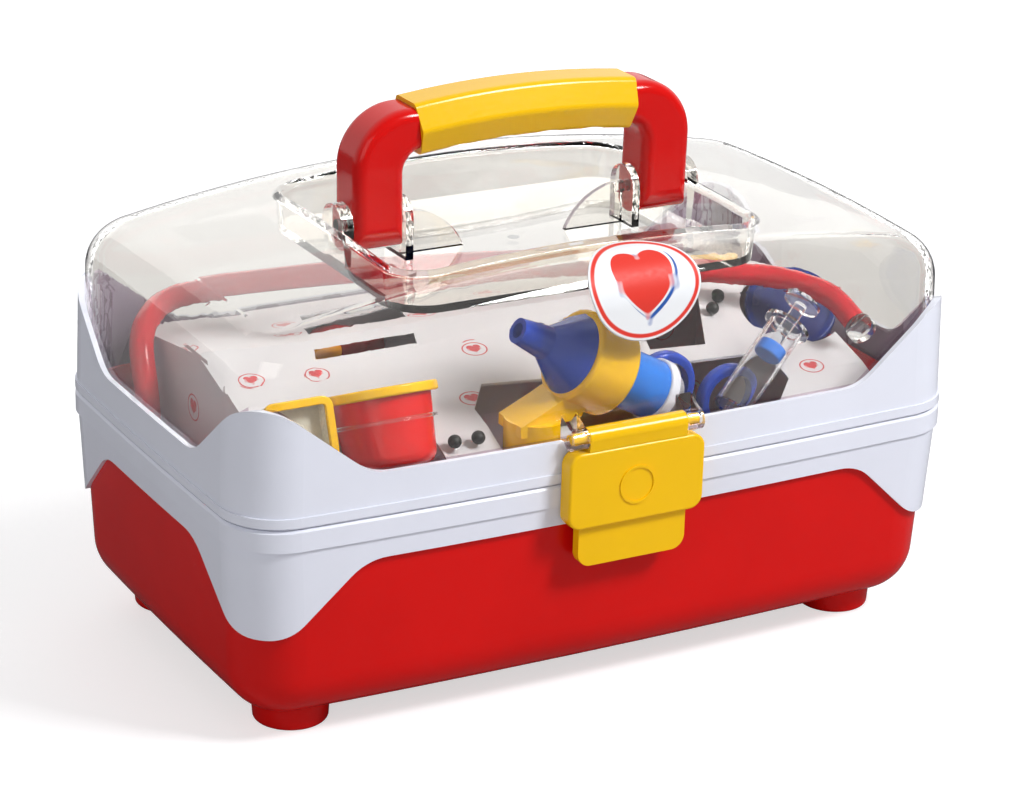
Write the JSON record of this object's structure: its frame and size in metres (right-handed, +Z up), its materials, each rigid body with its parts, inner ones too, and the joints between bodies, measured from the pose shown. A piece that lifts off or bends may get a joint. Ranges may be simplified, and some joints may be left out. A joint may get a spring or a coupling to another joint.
{
  "type": "toy doctor case",
  "caption": "Toy doctor's case with a domed lid, folding carry handle, front latch and rear hinges, holding play instruments on a card deck.",
  "frame": {"origin": "centre of the case's box on the surface it stands on, under the feet", "axes": "+Z up, +X along the case's length, -Y towards the latch side"},
  "size_m": [0.2832, 0.1823, 0.1988],
  "materials": {
    "red_plastic": "glossy",
    "white_plastic": "glossy",
    "yellow_plastic": "glossy",
    "steel_pin": "satin",
    "sticker": "printed vinyl",
    "card": "printed white card",
    "dark_blue_plastic": "glossy",
    "blue_plastic": "glossy",
    "light_blue_plastic": "glossy",
    "grey_plastic": "glossy",
    "clear_plastic": "clear",
    "clear_elastic": "clear",
    "black_tie": "matt",
    "mirror_foil": "bright",
    "orange_plastic": "glossy",
    "dark_red_plastic": "glossy"
  },
  "bodies": {
    "case": {"tub": "red_plastic", "lower_band": "white_plastic", "hinge_pins": "steel_pin", "card_insert": "card", "otoscope_tip": "dark_blue_plastic", "otoscope_head": "yellow_plastic", "otoscope_barrel": "light_blue_plastic", "otoscope_ring": "white_plastic", "otoscope_cap": "grey_plastic", "cup_body": "red_plastic", "cup_rim": "yellow_plastic", "cup_tie": "clear_elastic", "tie_knobs": "black_tie", "scissors_left": "blue_plastic", "scissors_rivet": "blue_plastic", "syringe_barrel": "clear_plastic", "mirror_frame": "dark_blue_plastic", "mirror_glass": "mirror_foil", "head_tube": "red_plastic", "tube_cap": "clear_plastic", "pill_tray": "dark_red_plastic", "pill_tray_rim": "yellow_plastic", "thermometer": "yellow_plastic", "tongue_stick": "blue_plastic", "hammer_head": "dark_red_plastic", "hammer_handle": "orange_plastic"},
    "lid": {"lid_dome": "clear_plastic", "upper_band": "white_plastic", "lid_sticker": "sticker", "handle_pins": "clear_plastic"},
    "latch": {"latch_flap": "yellow_plastic"},
    "handle": {"handle_frame": "red_plastic", "grip_front": "yellow_plastic", "grip_rear": "yellow_plastic"},
    "plunger": {"syringe_plunger": "clear_plastic", "syringe_piston": "light_blue_plastic"},
    "scissors_half": {"scissors_right": "blue_plastic"}
  },
  "joints": [
    {"name": "lid_hinge", "type": "hinge", "parent": "case", "child": "lid", "pos_m": [0, 0.0875, 0.082], "axis": [-1, 0, 0], "range_deg": [0, 105]},
    {"name": "latch_hinge", "type": "hinge", "parent": "lid", "child": "latch", "pos_m": [0, -0.0876, 0.0992], "axis": [-1, 0, 0], "range_deg": [0, 110]},
    {"name": "handle_hinge", "type": "hinge", "parent": "lid", "child": "handle", "pos_m": [0, 0, 0.1542], "axis": [1, 0, 0], "range_deg": [-90, 90]},
    {"name": "plunger_slide", "type": "slide", "parent": "case", "child": "plunger", "axis": [0.7457, 0.2572, 0.6146], "range_m": [-0.008, 0.007]},
    {"name": "scissors_pivot", "type": "hinge", "parent": "case", "child": "scissors_half", "pos_m": [0.03886, -0.046, 0.05724], "axis": [0, 1, 0], "range_deg": [-4, 8]}
  ]
}
